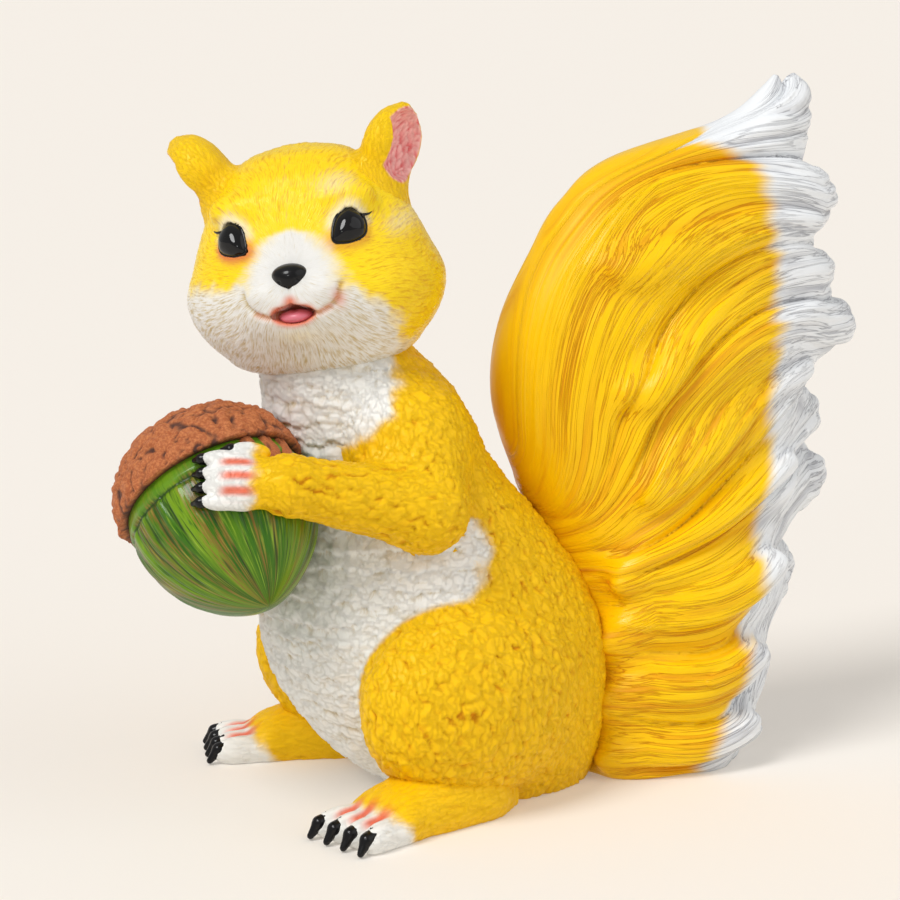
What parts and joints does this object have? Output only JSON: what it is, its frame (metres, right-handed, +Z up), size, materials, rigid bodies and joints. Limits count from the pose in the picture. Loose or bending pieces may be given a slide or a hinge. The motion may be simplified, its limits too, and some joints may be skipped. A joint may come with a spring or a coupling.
{
  "type": "squirrel figurine",
  "caption": "Sitting squirrel garden figure with a turned head and a tall tail, holding an acorn in its forepaws; hollow painted castings bonded and dowelled together, with a flat underside.",
  "frame": {"origin": "middle of the base plate's flat face, on the floor", "axes": "+Z up; the squirrel sits facing -Y with its tail towards +Y; its left side is +X"},
  "size_m": [0.2436, 0.4675, 0.4],
  "materials": {
    "yellow_coat": "hand-painted satin coat over cast resin, yellow with airbrushed white",
    "black_gloss": "high-gloss black",
    "tongue_pink": "satin pink",
    "acorn_green": "glossy green with brown streaks",
    "acorn_brown": "matt red-brown with dark wash",
    "base_grey": "plain moulded",
    "dowel_steel": "bright drawn rod"
  },
  "bodies": {
    "root": {"body_shell": "yellow_coat", "head_shell": "yellow_coat", "left_ear": "yellow_coat", "right_ear": "yellow_coat", "left_arm": "yellow_coat", "right_arm": "yellow_coat", "left_foot": "yellow_coat", "right_foot": "yellow_coat", "tail_shell": "yellow_coat", "left_eye": "black_gloss", "right_eye": "black_gloss", "nose": "black_gloss", "left_paw_claws": "black_gloss", "right_paw_claws": "black_gloss", "left_foot_claws": "black_gloss", "right_foot_claws": "black_gloss", "tongue": "tongue_pink", "acorn_nut": "acorn_green", "acorn_cap": "acorn_brown", "acorn_husk": "acorn_brown", "base_plate": "base_grey", "tail_dowels": "dowel_steel", "arm_dowels": "dowel_steel", "foot_dowels": "dowel_steel", "paw_dowels": "dowel_steel"}
  },
  "joints": []
}
